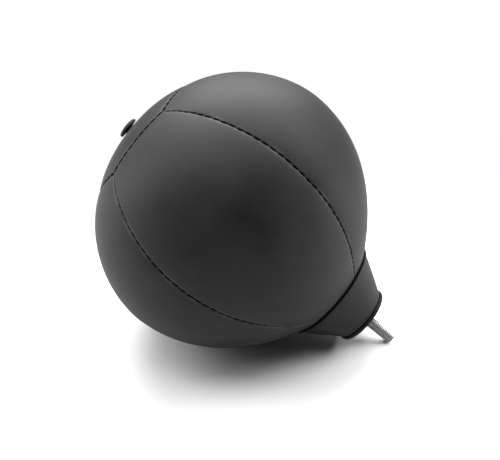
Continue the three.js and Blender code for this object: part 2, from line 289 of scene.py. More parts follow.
def mouldedPolymer(name, colour, roughness, grain, depth, gloss=0.3):
    # Injection-moulded plastic or rubber: a fine spark-eroded grain and a faint unevenness of the gloss.
    material, tree, surface = newMaterial(name, Base_Color=linear(colour), Specular_IOR_Level=gloss)
    place = node(tree, "ShaderNodeTexCoord").outputs["Object"]
    speck = node(tree, "ShaderNodeTexNoise", {"Vector": place}, {"Scale": 1 / grain, "Detail": 3.0})
    cloud = node(tree, "ShaderNodeTexNoise", {"Vector": place}, {"Scale": 1 / (14 * mm), "Detail": 3.0})
    rough = node(tree, "ShaderNodeMapRange", {"Value": cloud.outputs["Fac"]},
                 {"To Min": roughness - 0.08, "To Max": roughness + 0.1})
    bump = node(tree, "ShaderNodeBump", {"Height": speck.outputs["Fac"]},
                {"Strength": 0.3, "Distance": depth})
    join(tree, surface, Roughness=rough.outputs["Result"], Normal=bump.outputs["Normal"])
    return material


def zincPlated(name, dull, bright, rootShade, metallic):
    # Bright zinc on rolled steel: a pale, slightly cloudy metal, with painted shade in the thread's roots. It
    # isn't fully metallic, because the dark room around the ball would turn a full mirror darker than such a
    # stud looks.
    material, tree, surface = newMaterial(name, Metallic=metallic)
    place = node(tree, "ShaderNodeTexCoord").outputs["Object"]
    cloud = node(tree, "ShaderNodeTexNoise", {"Vector": place}, {"Scale": 1 / (3 * mm), "Detail": 4.0})
    share = node(tree, "ShaderNodeMapRange", {"Value": cloud.outputs["Fac"]},
                 {"From Min": 0.3, "From Max": 0.75})
    tone = node(tree, "ShaderNodeMix", {"Factor": share.outputs["Result"]},
                {"A": linear(dull), "B": linear(bright)}, data_type="RGBA")
    # Painted shade: the crack attribute darkens the thread's roots towards the root tone.
    groove = node(tree, "ShaderNodeAttribute", attribute_name="paintedCrackShade")
    dark = node(tree, "ShaderNodeMix", {"Factor": groove.outputs["Fac"], "A": tone.outputs["Result"]},
                {"B": linear(rootShade)}, data_type="RGBA")
    rough = node(tree, "ShaderNodeMapRange", {"Value": cloud.outputs["Fac"]}, {"To Min": 0.3, "To Max": 0.45})
    bump = node(tree, "ShaderNodeBump", {"Height": cloud.outputs["Fac"]},
                {"Strength": 0.1, "Distance": 0.03 * mm})
    join(tree, surface, Base_Color=dark.outputs["Result"], Roughness=rough.outputs["Result"],
         Normal=bump.outputs["Normal"])
    return material


def fibrous(name, dark, light, pitch, stretch, roughness):
    # Spun or pressed fibre: short streaks that follow one direction, matte with a soft sheen.
    material, tree, surface = newMaterial(name, Roughness=roughness, Sheen_Weight=0.3)
    place = node(tree, "ShaderNodeTexCoord").outputs["Object"]
    along = node(tree, "ShaderNodeMapping", {"Vector": place}, {"Scale": stretch}).outputs["Vector"]
    strand = node(tree, "ShaderNodeTexNoise", {"Vector": along}, {"Scale": 1 / pitch, "Detail": 5.0})
    share = node(tree, "ShaderNodeMapRange", {"Value": strand.outputs["Fac"]},
                 {"From Min": 0.35, "From Max": 0.65})
    tone = node(tree, "ShaderNodeMix", {"Factor": share.outputs["Result"]},
                {"A": linear(dark), "B": linear(light)}, data_type="RGBA")
    bump = node(tree, "ShaderNodeBump", {"Height": strand.outputs["Fac"]},
                {"Strength": 0.5, "Distance": 0.2 * mm})
    join(tree, surface, Base_Color=tone.outputs["Result"], Normal=bump.outputs["Normal"])
    return material


def wovenCotton(name, dark, light, thread):
    # Plain-weave cotton: two crossed sets of ribs, one thread wide.
    material, tree, surface = newMaterial(name, Roughness=0.9, Sheen_Weight=0.2)
    place = node(tree, "ShaderNodeTexCoord").outputs["Object"]
    warp, weft = [
        node(tree, "ShaderNodeTexWave", {"Vector": place}, {"Scale": 1 / thread / 20, "Distortion": 0.6},
             bands_direction=axis).outputs["Fac"]
        for axis in ("X", "Y")
    ]
    weave = node(tree, "ShaderNodeMath", {0: warp, 1: weft}, operation="MULTIPLY").outputs["Value"]
    share = node(tree, "ShaderNodeMapRange", {"Value": weave}, {"From Max": 0.6})
    tone = node(tree, "ShaderNodeMix", {"Factor": share.outputs["Result"]},
                {"A": linear(dark), "B": linear(light)}, data_type="RGBA")
    bump = node(tree, "ShaderNodeBump", {"Height": weave}, {"Strength": 0.5, "Distance": 0.15 * mm})
    join(tree, surface, Base_Color=tone.outputs["Result"], Normal=bump.outputs["Normal"])
    return material


greyLeather = coatedLeather("polyurethane coated leather", leatherLook)
blackVinyl = mouldedPolymer("black vinyl piping", "#050505", 0.7, 0.4 * mm, 0.04 * mm, 0.12)
blackPlastic = mouldedPolymer("moulded black polypropylene", "#070707", 0.6, 0.3 * mm, 0.05 * mm)
blackRubber = mouldedPolymer("moulded black rubber", "#0b0b0b", 0.6, 0.5 * mm, 0.05 * mm)
redRubber = mouldedPolymer("dipped bladder rubber", "#7b2b1f", 0.6, 1.2 * mm, 0.08 * mm)
# the third tone is the painted shade in the thread's roots
brightSteel = zincPlated("zinc plated steel", "#dedfe1", "#f4f4f5", "#2c2d2f", 0.72)
nylonThread = fibrous("bonded nylon thread", "#161616", "#333334", 0.3 * mm, (1, 1, 1), 0.6)
waxedCord = fibrous("waxed linen cord", "#9a937e", "#cfc8b4", 0.8 * mm, (1, 1, 3), 0.8)
woolFelt = fibrous("pressed wool felt", "#4c4b49", "#7d7b78", 1.1 * mm, (1, 1, 2), 1.0)
cottonLining = wovenCotton("plain weave cotton", "#8f8a7e", "#c9c4b8", 0.9 * mm)
print("materials made")


outlineShape = {
    "crownHandle": 0.66,  # how the two quarter curves are pulled, as shares of their radius or height
    "crownDrop": 0.435,
    "neckRise": 0.466,
    "flareReach": 0.203,
    "flareSlope": 1.57,
    "tailInset": 2.47 * mm,  # from the piping's outside in to the cover's neck
    "tailCone": 0.586,  # radius lost per height below the neck
    "bindingDepth": 1.6 * mm,
}


def bezier(corners, count):
    # Four corners pull a curve: each one's share is a binomial term of the way along, t, and of 1 - t.
    t = np.linspace(0, 1, count)[:, None]
    a, b, c, d = (np.array(corner, float) for corner in corners)
    return (1 - t) ** 3 * a + 3 * t * (1 - t) ** 2 * b + 3 * t ** 2 * (1 - t) * c + t ** 3 * d


def verticesOf(name):
    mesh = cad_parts[name].data
    places = np.empty(len(mesh.vertices) * 3, np.float32)
    mesh.vertices.foreach_get("co", places)
    return places.reshape(-1, 3).astype(float)


def makeOutline(shape):
    # Bound tail, neck curve and crown curve as one line, with its length, radius, height and normal.
    places = verticesOf("gore_panel_1")
    radii = np.hypot(places[:, 0], places[:, 1])
    radius, equator = radii.max(), places[radii.argmax(), 2]
    foot = places[:, 2].min()
    crown = boxOf("crown_patch")[1][2]
    pipeLow, pipeHigh = boxOf("neck_piping")
    junction = (pipeLow[2] + pipeHigh[2]) / 2 + 0.15 * (pipeHigh[2] - pipeLow[2])
    neck = pipeHigh[0] - shape["tailInset"]
    bound = boxOf("neck_binding")[1]
    cone = shape["tailCone"]
    pinch = bound[0] - shape["bindingDepth"]
    step = bound[2] + 0.5 * mm
    tail = np.array([
        (pinch - cone * (bound[2] - foot), foot),
        (pinch + cone * (step - bound[2]), step),
        (neck - cone * (junction - step - 1.9 * mm), step + 1.9 * mm),
    ])
    rise = equator - junction
    reach = shape["flareReach"] * rise
    lower = bezier([
        (neck, junction), (neck + reach * shape["flareSlope"], junction + reach),
        (radius, equator - shape["neckRise"] * rise), (radius, equator)], 700)
    upper = bezier([
        (radius, equator), (radius, equator + shape["crownDrop"] * (crown - equator)),
        (shape["crownHandle"] * radius, crown), (0, crown)], 700)
    line = np.concatenate([tail, lower, upper[1:]])
    length = np.concatenate([[0], np.cumsum(np.hypot(*np.diff(line, axis=0).T))])
    even = np.linspace(0, length[-1], 4000)
    r, z = (np.interp(even, length, line[:, k]) for k in (0, 1))
    slopeR, slopeZ = np.gradient(r), np.gradient(z)
    size = np.hypot(slopeR, slopeZ)
    return {"s": even, "r": r, "z": z, "nr": slopeZ / size, "nz": -slopeR / size,
            "neck": length[len(tail)], "equator": length[len(tail) + 699]}


outline = makeOutline(outlineShape)


def onOutline(s, key):
    return np.interp(s, outline["s"], outline[key])


def ballPoints(s, angle, depth):
    # Points at a length along the outline, turned to an angle, sunk by a depth along the normal.
    r = onOutline(s, "r") - depth * onOutline(s, "nr")
    z = onOutline(s, "z") - depth * onOutline(s, "nz")
    return np.stack([r * np.cos(angle), r * np.sin(angle), z], -1)


def lengthAtRadius(radius):
    # Length along the outline at which the crown has this radius.
    above = outline["s"] > outline["equator"]
    return np.interp(radius, outline["r"][above][::-1], outline["s"][above][::-1])


cover = {
    "gores": 6,
    "patchBow": 0.5,  # sides of the crown patch, between straight (0) and round (1)
    "thickness": 1.6 * mm,
    "edgeRadius": 1.2 * mm,
    "crackNarrow": 0.16 * mm,  # half the crack at a stitch
    "crackWide": 0.7 * mm,  # and between two stitches
    "wallGap": 0.05 * mm,
    "wander": 0.2 * mm,  # of the seam to either side of its true line
    "bulge": 0.6 * mm,  # of a gore's middle past the round outline
    "sideShadeReach": 0.6 * mm,  # how far from a seam the folded edge is still painted dark, as shade
    "topShadeReach": 1.75 * mm,
    "patchShadeReach": 2.0 * mm,
    "shadeReachFade": 0.4 * mm,
    "shadowStart": 0.3 * mm,  # depth on the folded edge at which its painted shade begins
    "shadowFade": 0.4 * mm,
    "rubAndHighlightStart": 0.6 * mm,  # from the painted shade to the middle of the paler line beside it, partly rubbed wear, partly painted highlight
    "rubAndHighlightWidth": 0.8 * mm,
    "waist": 0.55,  # where a seam gapes most, as a share of its length, and how far that spreads
    "waistReach": 0.26,
    "tightEnd": 0.4,  # how much of the gape is left at a seam's ends
    "dip": 0.85 * mm,  # a taut panel sinks towards its seams
    "dipReach": 12 * mm,
    "pucker": 0.28 * mm,
    "puckerReach": 2.0 * mm,
    "ripple": 0.05 * mm,
    "rippleReach": 6 * mm,
    "free": 22 * mm,  # a panel lies flat at the neck and has its full dip this far up from it
    "bulgeFree": 70 * mm,  # and its full bulge this far up, and this far down from the crown patch
    "bulgeFreeTop": 40 * mm,
    "patchLoose": 0.9,  # how far the crown patch's seam gapes, as a share of the crack
    "stitch": 6.6 * mm,
    "patchStitches": 9,  # on each side of the crown patch
    "rowStep": 0.8 * mm,
    "valveHole": 4.7 * mm,
    "thread": 0.24 * mm,
    "threadReach": 0.95 * mm,
    "threadDepth": 0.12 * mm,  # under the cover's face at the middle of a stitch
    "threadDive": 0.25 * mm,  # and how much deeper its ends go
}
patchCorner = boxOf("crown_patch")[1][0] + 0.15 * mm
halfGore = math.pi / cover["gores"]
bend = np.linspace(0, math.pi / 2, 6)
sectionDepth = np.concatenate([
    [cover["thickness"], 0.5 * (cover["thickness"] + cover["edgeRadius"])],
    cover["edgeRadius"] * (1 - np.sin(bend)),
])
edgeCount = len(sectionDepth)


def patchEdge(offAngle):
    # Radius of the crown patch's side at an angle from the side's middle.
    straight = patchCorner * math.cos(halfGore) / np.cos(offAngle)
    return straight + (patchCorner - straight) * cover["patchBow"]


def crackHalf(phase, loose):
    # Half the crack's width: narrow at a stitch, wide half-way to the next one.
    swing = (0.5 - 0.5 * np.cos(phase)) ** 1.5 * loose
    return cover["crackNarrow"] + (cover["crackWide"] - cover["crackNarrow"]) * swing


def looseness(s, seam):
    # A seam gapes at the ball's waist and is tight towards both of its ends, and varies a little on the way.
    along = np.clip((s - outline["neck"]) / (lengthAtRadius(patchCorner) - outline["neck"]), 0, 1)
    tight = cover["tightEnd"]
    gape = tight + (1 - tight) * np.exp(-((along - cover["waist"]) / cover["waistReach"]) ** 2)
    return gape * (0.8 + 0.2 * np.sin(s / (21 * mm) + 2.3 * seam) * np.sin(s / (9.5 * mm) + 1.1 * seam))


def seamPhase(s):
    return 2 * math.pi * (s - outline["neck"]) / cover["stitch"]


def patchPhase(offAngle):
    return math.pi * cover["patchStitches"] * (offAngle / halfGore + 1)


def wander(phase, seam):
    # A sewn line weaves a little: two slow waves that don't share a period.
    return cover["wander"] * (np.sin(0.43 * phase + 2 * seam) + 0.7 * np.sin(1.0 * phase + seam)) / 1.7


def edgeDistance(half, step):
    # Distance from the seam at each step of the folded edge: up its wall, then a quarter turn.
    wall = np.where(step == 0, cover["wallGap"], 0.5 * (cover["wallGap"] + half))
    turn = bend[np.clip(step - 2, 0, len(bend) - 1)]
    return np.where(step < 2, wall, half + cover["edgeRadius"] * (1 - np.cos(turn)))


def sink(distances, phases, s):
    # Depth of the face under the outline: a dip towards each seam, puckers at its stitches, faint ripples.
    away = 1.0
    pull = 0.0
    for distance, phase in zip(distances, phases):
        away = away * (1 - np.exp(-np.maximum(distance, 0) / cover["dipReach"]))
        near = np.exp(-(distance / cover["puckerReach"]) ** 2)
        pull = pull + cover["pucker"] * near * (0.5 + 0.5 * np.cos(phase))
        wave = np.sin(0.5 * phase + distance / (1.3 * mm)) * np.sin(0.31 * phase + 1.7)
        pull = pull + cover["ripple"] * wave * np.exp(-np.maximum(distance, 0) / cover["rippleReach"])
    free = np.clip((s - outline["neck"]) / cover["free"], 0, 1)
    return (cover["dip"] * (1 - away) + pull) * free * free * (3 - 2 * free)


def seamMarks(piece, distance, edgeDepth, swing, reach, s, keep):
    # Two attributes for the material: painted shade darkens the crack and the folded edge near it, and the
    # fold beside that is paler in places, partly rubbed wear, partly painted highlight.
    shadow = np.clip((edgeDepth - cover["shadowStart"]) / cover["shadowFade"], 0, 1)
    edgeShade = np.clip((reach - distance) / cover["shadeReachFade"], 0, 1) * (0.4 + 0.6 * swing)
    rubAndHighlight = np.exp(-((distance - reach - cover["rubAndHighlightStart"]) / cover["rubAndHighlightWidth"]) ** 2)
    fold = rubAndHighlight * np.clip(0.5 + 0.5 * np.sin(s / (5 * mm)) * np.sin(s / (17 * mm)), 0, 1)
    for name, values in (("paintedCrackShade", np.maximum(shadow, edgeShade)), ("fold", fold)):
        setAttribute(piece, name, np.concatenate([values.ravel(), 0 * values[keep]]))


def makeGore(number):
    # Columns run from seam to seam and rows from the bound tail up to the crown patch. A point is the outline
    # sunk by the dip, the puckers, the ripples and its folded edge, and raised by the bulge.
    inner = (np.arange(1, 15) / 14) ** 1.7
    fullCount = edgeCount + len(inner)
    column = np.minimum(np.arange(2 * fullCount - 1), np.arange(2 * fullCount - 1)[::-1])
    share = np.where(column < edgeCount, 0, np.concatenate([np.zeros(edgeCount), inner])[column])
    side = np.where(np.arange(2 * fullCount - 1) < fullCount, -1, 1)
    offAngle = side * halfGore * (1 - np.maximum(share, 0.01 * (column > 0)))[None]
    rows = np.linspace(0, 1, int(lengthAtRadius(patchEdge(0)) / cover["rowStep"]))[:, None]
    rimStep = np.arange(edgeCount)[::-1][1:, None]
    for settling in range(3):  # the crack's width depends on the place and the place on the width
        topAngle = offAngle[-1][None]
        top = lengthAtRadius(patchEdge(topAngle))
        topHalf = crackHalf(patchPhase(topAngle), cover["patchLoose"])
        shift = wander(patchPhase(topAngle), number)
        face = top - edgeDistance(topHalf, np.array([[edgeCount - 1]])) - shift
        s = np.concatenate([rows * face, top - edgeDistance(topHalf, rimStep) - shift])
        r = onOutline(s, "r")
        seam = number + (side > 0)
        half = crackHalf(seamPhase(s), looseness(s, seam % cover["gores"]))
        near = edgeDistance(half, column[None] + 0 * r.astype(int))
        last = edgeDistance(half, np.full(r.shape, edgeCount - 1))
        distance = np.where(column < edgeCount, near, last + share * (r * halfGore - last))
        seamShift = wander(seamPhase(s), seam % cover["gores"]) * np.clip(1 - share / 0.3, 0, 1)
        offAngle = side * (halfGore - (distance - side * seamShift) / r)
    across = np.where(column < edgeCount, np.append(sectionDepth, 0)[np.minimum(column, edgeCount)], 0)
    upward = np.concatenate([0 * rows[:, 0], sectionDepth[::-1][1:]])
    edgeDepth = (across[None] ** 3 + upward[:, None] ** 3) ** (1 / 3)
    left, right = r * (halfGore + offAngle), r * (halfGore - offAngle)
    gap = top - s
    sunk = sink((left, right, gap), (seamPhase(s), seamPhase(s), patchPhase(offAngle)), s)
    free = np.clip((s - outline["neck"]) / cover["bulgeFree"], 0, 1)
    free = free * np.clip(gap / cover["bulgeFreeTop"], 0, 1)
    sunk = sunk - cover["bulge"] * (1 - (offAngle / halfGore) ** 2) * np.sin(0.5 * math.pi * free)
    angle = offAngle - math.pi / 2 + 2 * halfGore * number
    points, faces, keep = slab(ballPoints(s, angle, sunk + edgeDepth),
                               ballPoints(s, angle, sunk + cover["thickness"]))
    piece = addMesh(f"gore_{number + 1}", points, faces, "ball", "grey_leather", greyLeather)
    toSide = np.minimum(left, right)
    atTop = gap < toSide
    swing = 0.5 - 0.5 * np.cos(np.where(atTop, patchPhase(offAngle), seamPhase(s)))
    reach = np.where(atTop, cover["topShadeReach"], cover["sideShadeReach"])
    seamMarks(piece, np.minimum(toSide, gap), edgeDepth, swing, reach, s, keep)
    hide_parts(f"gore_panel_{number + 1}")
    return piece


def makePatch():
    # Rings run from the hole for the valve out to the seam with the gores.
    angle = roundSteps(432)[None]
    offAngle = (angle + math.pi / 2 + halfGore) % (2 * halfGore) - halfGore
    top = lengthAtRadius(patchEdge(offAngle))
    half = crackHalf(patchPhase(offAngle), cover["patchLoose"])
    number = np.round((angle + math.pi / 2 - offAngle) / (2 * halfGore)) % cover["gores"]
    rim = top + edgeDistance(half, np.arange(edgeCount)[:, None]) - wander(patchPhase(offAngle), number)
    hole = lengthAtRadius(cover["valveHole"])
    holeEdge = 0.4 * mm * np.array([1, 0.6, 0.3, 0.1, 0])[:, None]
    body = np.linspace(0, 1, 46)[1:, None] ** 1.35  # closer together towards the seam
    start, end = rim[-1:], hole - holeEdge[0]
    s = np.concatenate([rim, start + body * (end - start), hole - holeEdge[1:] + 0 * angle])
    holeDepth = np.array([0, 0.05, 0.12, 0.22, 0.4]) * mm
    edgeDepth = np.concatenate([sectionDepth, np.zeros(len(body) - 1), holeDepth])[:, None] + 0 * s
    distance = s - top
    sunk = sink((distance,), (patchPhase(offAngle),), s)
    angle = angle + 0 * s
    points, faces, keep = slab(ballPoints(s, angle, sunk + edgeDepth),
                               ballPoints(s, angle, sunk + cover["thickness"]), ring=True)
    piece = addMesh("crown_cover", points, faces, "ball", "grey_leather", greyLeather)
    swing = 0.5 - 0.5 * np.cos(patchPhase(offAngle)) + 0 * s
    seamMarks(piece, distance, edgeDepth, swing, cover["patchShadeReach"], top + offAngle * 40 * mm + 0 * s, keep)
    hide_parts("crown_patch")
    return piece


def makeStitches():
    # Short rungs of thread that cross each crack just under the surface.
    foot = np.arange(1, 60) * cover["stitch"] + outline["neck"]
    foot = foot[foot < lengthAtRadius(patchCorner) - 2 * mm]
    seams = (np.arange(cover["gores"]) * 2 - 1) * halfGore - math.pi / 2
    s, angle = (grid.ravel() for grid in np.meshgrid(foot, seams))
    count = cover["gores"] * cover["patchStitches"]
    offAngle = roundSteps(count)
    patchAngle = offAngle - math.pi / 2 - halfGore
    aside = offAngle % (2 * halfGore) - halfGore
    s = np.concatenate([s, lengthAtRadius(patchEdge(aside))])
    angle = np.concatenate([angle, patchAngle])
    alongSeam = np.arange(len(s)) < len(foot) * len(seams)
    cosine, sine = np.cos(angle), np.sin(angle)
    nr, nz = onOutline(s, "nr"), onOutline(s, "nz")
    normal = np.stack([nr * cosine, nr * sine, nz], -1)
    around = np.stack([-sine, cosine, 0 * sine], -1)
    upward = np.cross(normal, around)
    across = np.where(alongSeam[:, None], around, upward)
    along = np.cross(normal, across)
    place = ballPoints(s, angle, cover["dip"] + cover["pucker"])
    step = np.linspace(-1, 1, 9)
    turn = roundSteps(8)
    size = cover["thread"] * np.sqrt(np.clip(1 - step ** 8, 0, 1))
    depth = cover["threadDepth"] + cover["threadDive"] * step ** 2
    offset = (
        step[None, :, None, None] * cover["threadReach"] * across[:, None, None]
        + (size[:, None] * np.cos(turn) - depth[:, None])[None, :, :, None] * normal[:, None, None]
        + (size[:, None] * np.sin(turn))[None, :, :, None] * along[:, None, None]
    )
    parts = [poleFaces(grid) for grid in place[:, None, None] + offset]
    points = np.concatenate([part[0] for part in parts])
    shift = len(parts[0][0]) * np.arange(len(parts))[:, None, None]
    faces = [(part + shift).reshape(-1, part.shape[1]) for part in parts[0][1]]
    addMesh("seam_thread", points, faces, "ball", "grey_leather", nylonThread)


gores = [makeGore(number) for number in range(cover["gores"])]
crownCover = makePatch()
makeStitches()
print("cover sewn")


neck = {
    "pipeRadius": 0.98 * mm,
    "pipeWander": 0.08 * mm,
    "overhang": 0.8 * mm,  # of the cap past the collar's foot
    "leather": 1.4 * mm,
    "hem": 7 * mm,
    "rollRadius": 0.55 * mm,
    "wrinkle": 0.05 * mm,
    "bulge": 0.35 * mm,
    "seamAngle": 96,  # where the collar's ends are sewn together, at the back
    "seamWidth": 0.5 * mm,
    "seamDepth": 0.45 * mm,
    "seamPull": 0.35 * mm,  # the leather beside that seam is drawn in, over this reach
    "seamPullReach": 6 * mm,
}


def makePiping(n):
    # Radius = ring + tube * cos turn, height = middle + wander + tube * sin turn.
    low, high = boxOf("neck_piping")
    centre = (low + high) / 2
    ring = high[0] - (high[2] - low[2]) / 2
    angle = roundSteps(300)
    turn = roundSteps(14)[:, None]
    wander = n["pipeWander"] * (np.sin(7 * angle + 1) + 0.6 * np.sin(19 * angle))
    tube = n["pipeRadius"] + 0.03 * mm * np.sin(61 * angle)
    r = ring + tube * np.cos(turn)
    z = centre[2] + wander + tube * np.sin(turn)
    grid = np.stack([r * np.cos(angle), r * np.sin(angle), z], -1)
    piece = addMesh("piping", *ringFaces(grid), "ball", "black_piping", blackVinyl)
    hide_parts("neck_piping")
    return piece


def makeCollar(n):
    # A cone with a hem turned in at its foot: radius = the cone's + folds + bulge - the groove of its seam.
    low, high = boxOf("collar_sleeve")
    foot = boxOf("base_cap")[1][0] - n["overhang"]
    slope = (high[0] - foot) / (high[2] - low[2])
    wall = n["leather"] * math.hypot(1, slope)

    def faceRadius(z):
        return foot + (z - low[2]) * slope

    hemTop = low[2] + n["leather"]
    outer = np.linspace(low[2] + 1.2 * mm, high[2] - 1.2 * mm, 70)
    corners = softened([
        (foot - n["hem"], low[2]), (foot, low[2]), (high[0], high[2]),
        (high[0] - wall, high[2]), (faceRadius(hemTop) - wall, hemTop), (foot - n["hem"], hemTop),
    ], n["rollRadius"], 6)
    face = np.stack([faceRadius(outer), outer], -1)
    profile = np.concatenate([corners[:14], face, corners[14:]])
    seam = degrees(n["seamAngle"])
    beside = np.concatenate([-np.geomspace(0.1, 12, 12)[::-1], [0], np.geomspace(0.1, 12, 12)])
    angle = np.sort(np.concatenate([roundSteps(330), (seam + beside / 40) % (2 * math.pi)]))
    r, z = profile[:, :1], profile[:, 1:2]
    rise = np.clip((z - low[2]) / (high[2] - low[2]), 0, 1)
    visible = np.clip((r - faceRadius(z) + 0.6 * mm) / (0.6 * mm), 0, 1) * np.sin(math.pi * rise) ** 0.5
    away = np.abs((angle - seam + math.pi) % (2 * math.pi) - math.pi) * r
    # Soft folds: the product of two slanting waves that don't share a period, and a third, finer one.
    folds = np.sin(11 * angle + 6 * rise) * np.sin(5 * angle + 2.1 - 4 * rise)
    folds = folds + 0.4 * np.sin(29 * angle + 9 * rise)
    groove = n["seamDepth"] * np.exp(-(away / n["seamWidth"]) ** 2)
    groove = groove + n["seamPull"] * np.exp(-away / n["seamPullReach"])
    move = visible * (n["wrinkle"] * folds * (0.35 + rise) + n["bulge"] * np.sin(math.pi * rise) - groove)
    grid = np.stack([(r + move) * np.cos(angle), (r + move) * np.sin(angle), z + 0 * angle], -1)
    piece = addMesh("collar", *ringFaces(grid), "ball", "grey_leather", greyLeather)
    # Painted shade: the crack attribute darkens the leather in the groove of the collar's seam.
    setAttribute(piece, "paintedCrackShade", np.exp(-(away / (0.7 * n["seamWidth"])) ** 2) * visible)
    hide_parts("collar_sleeve")
    return piece


piping = makePiping(neck)
collar = makeCollar(neck)
print("neck made")


base = {
    "edge": 0.7 * mm,
    "hub": 14.2 * mm,
    "bore": 5.05 * mm,
    "counterbore": 11.2 * mm,
    "web": 3 * mm,
    "flange": 3 * mm,
    "flats": 14.3 * mm,
    "stud": 9.525 * mm,
    "pitch": 1.5875 * mm,
    "threadDepth": 0.92 * mm,
    "threadEnd": 16 * mm,  # height up to which the stud is threaded
    "tip": 1.1 * mm,
    "headHeight": 6.2 * mm,
    "splitGap": 1.3 * mm,
    "twist": 0.25 * mm,
}


def makeCap(b):
    # A turned disc with a hub: the outline's corners are eased, the rim and the hub more than the bore.
    low, high = boxOf("base_cap")
    loop = [
        (b["counterbore"], low[2]), (high[0], low[2]), (high[0], b["flange"]), (b["hub"], b["flange"]),
        (b["hub"], high[2]), (b["bore"], high[2]), (b["bore"], high[2] - b["web"]),
        (b["counterbore"], high[2] - b["web"]),
    ]
    soft = softened(loop, 0.35 * mm, 3)
    edge = softened(loop, b["edge"], 8)
    profile = np.concatenate([soft[:4], edge[9:27], soft[12:]])
    grid = turned(profile, roundSteps(192))
    piece = addMesh("cap", *ringFaces(grid), "ball", "black_plastic", blackPlastic)
    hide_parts("base_cap")
    return piece


def hexagon(angle, flats):
    # Radius of a hexagon with a corner at angle zero: half its flats / cosine of the angle from a flat.
    sector = math.pi / 3
    return flats / 2 / np.cos((angle % sector) - sector / 2)


def makeBolt(b):
    low, high = boxOf("anchor_bolt")
    radius = b["stud"] / 2
    angle = roundSteps(72)
    z = np.arange(low[2], b["threadEnd"], b["pitch"] / 12)[:, None]
    # One helix: the phase is height / pitch - angle / full turn, and the groove is a flat-bottomed vee in it.
    phase = (z / b["pitch"] - angle / (2 * math.pi)) % 1
    groove = np.clip(1.25 - 2.99 * np.abs(phase - 0.5), 0, 1)
    runOut = np.clip((b["threadEnd"] - 2 * mm - z) / (3 * mm), 0, 1)
    r = radius - b["threadDepth"] * groove * runOut
    r = np.minimum(r, radius - b["tip"] + 0.9 * (z - low[2]))
    headFoot = high[2] - b["headHeight"]
    six = hexagon(angle, b["flats"])
    flat = b["flats"] / 2
    shank = [
        (radius - 0.02 * mm, b["threadEnd"]),
        (radius, headFoot - 0.4 * mm),
        (radius + 0.4 * mm, headFoot),
    ]
    head = [  # the hexagon, its corners turned off above and below
        (np.minimum(six, flat + 0.05 * mm), headFoot),
        (np.minimum(six, flat + 0.6 * mm), headFoot + 0.2 * mm),
        (six, headFoot + 0.5 * mm),
        (six, high[2] - 0.9 * mm),
        (np.minimum(six, flat + 0.55 * mm), high[2] - 0.35 * mm),
        (np.minimum(six, flat - 0.1 * mm), high[2]),
        (0.6 * flat, high[2]),
        (0, high[2]),
    ]
    rings = [(0 * angle, low[2]), (0.5 * (radius - b["tip"]) + 0 * angle, low[2])]
    rings += [(row, height[0]) for row, height in zip(r, z)]
    rings += [(value + 0 * angle, height) for value, height in shank + head]
    grid = np.array([np.stack([row * np.cos(angle), row * np.sin(angle), height + 0 * angle], -1)
                     for row, height in rings])
    points, faces = poleFaces(grid)
    piece = addMesh("bolt", points, faces, "ball", "zinc_steel", brightSteel)
    piece.data.set_sharp_from_angle(angle=degrees(35))
    # Painted shade: the thread's roots are darkened by the depth of the groove there.
    depth = np.concatenate([[0 * angle], b["threadDepth"] * (groove * runOut)])
    marks = np.zeros(len(points))
    marks[:depth.size] = depth.ravel() / b["threadDepth"]
    setAttribute(piece, "paintedCrackShade", marks)
    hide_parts("anchor_bolt")
    return piece


def makeNut(b):
    # Stations are a radius and a height, above the nut's foot or, if negative, below its top.
    low, high = boxOf("clamp_nut")
    angle = roundSteps(72)
    six = hexagon(angle, b["flats"])
    flat, bore = b["flats"] / 2, b["stud"] / 2 + 0.06 * mm
    stations = [(bore + 0.5 * mm, 0), (flat - 0.15 * mm, 0), (np.minimum(six, flat + 0.5 * mm), 0.35 * mm),
                (six, 0.9 * mm), (six, -0.9 * mm), (np.minimum(six, flat + 0.5 * mm), -0.35 * mm),
                (flat - 0.15 * mm, -1e-9), (bore + 0.5 * mm, -1e-9), (bore, -0.5 * mm), (bore, 0.5 * mm)]
    grid = np.array([
        np.stack([(r + 0 * angle) * np.cos(angle), (r + 0 * angle) * np.sin(angle),
                  (low[2] + z if z >= 0 else high[2] + z) + 0 * angle], -1)
        for r, z in stations
    ])
    piece = addMesh("nut", *ringFaces(grid), "ball", "zinc_steel", brightSteel)
    piece.data.set_sharp_from_angle(angle=degrees(35))
    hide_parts("clamp_nut")


def washerSection(b, low, high, rounding):
    corners = [(b["bore"], low[2]), (high[0], low[2]), (high[0], high[2]), (b["bore"], high[2])]
    return softened(corners, rounding, 3)


def makeWashers(b):
    section = washerSection(b, *boxOf("clamp_washer"), 0.2 * mm)
    grid = turned(section, roundSteps(96))
    flat = addMesh("washer", *ringFaces(grid), "ball", "zinc_steel", brightSteel)
    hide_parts("clamp_washer")
    low, high = boxOf("lock_washer")
    section = washerSection(b, low, high, 0.25 * mm)
    gap = b["splitGap"] / high[0]
    angle = np.linspace(gap / 2, 2 * math.pi - gap / 2, 96)
    r, z = section[:, :1], section[:, 1:2]
    twist = b["twist"] * (angle / math.pi - 1)  # one end of the split ring stands higher than the other
    squeezed = low[2] + (z - low[2]) * 0.8 + 0.2 * mm + twist * 0.8
    around = np.stack([r * np.cos(angle), r * np.sin(angle), squeezed], -1).transpose(1, 0, 2)
    ends = around.mean(1, keepdims=True) + 0 * around
    grid = np.concatenate([ends[:1], around, ends[-1:]])
    split = addMesh("split_washer", *poleFaces(grid), "ball", "zinc_steel", brightSteel)
    split.data.set_sharp_from_angle(angle=degrees(40))
    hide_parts("lock_washer")


cap = makeCap(base)
bolt = makeBolt(base)
makeNut(base)
makeWashers(base)
print("base made")


plugShape = {
    "rim": 1.5 * mm,
    "dome": 2.0 * mm,
    "stem": 2.75 * mm,
    "waist": 2.25 * mm,
    "ribs": 3,
}


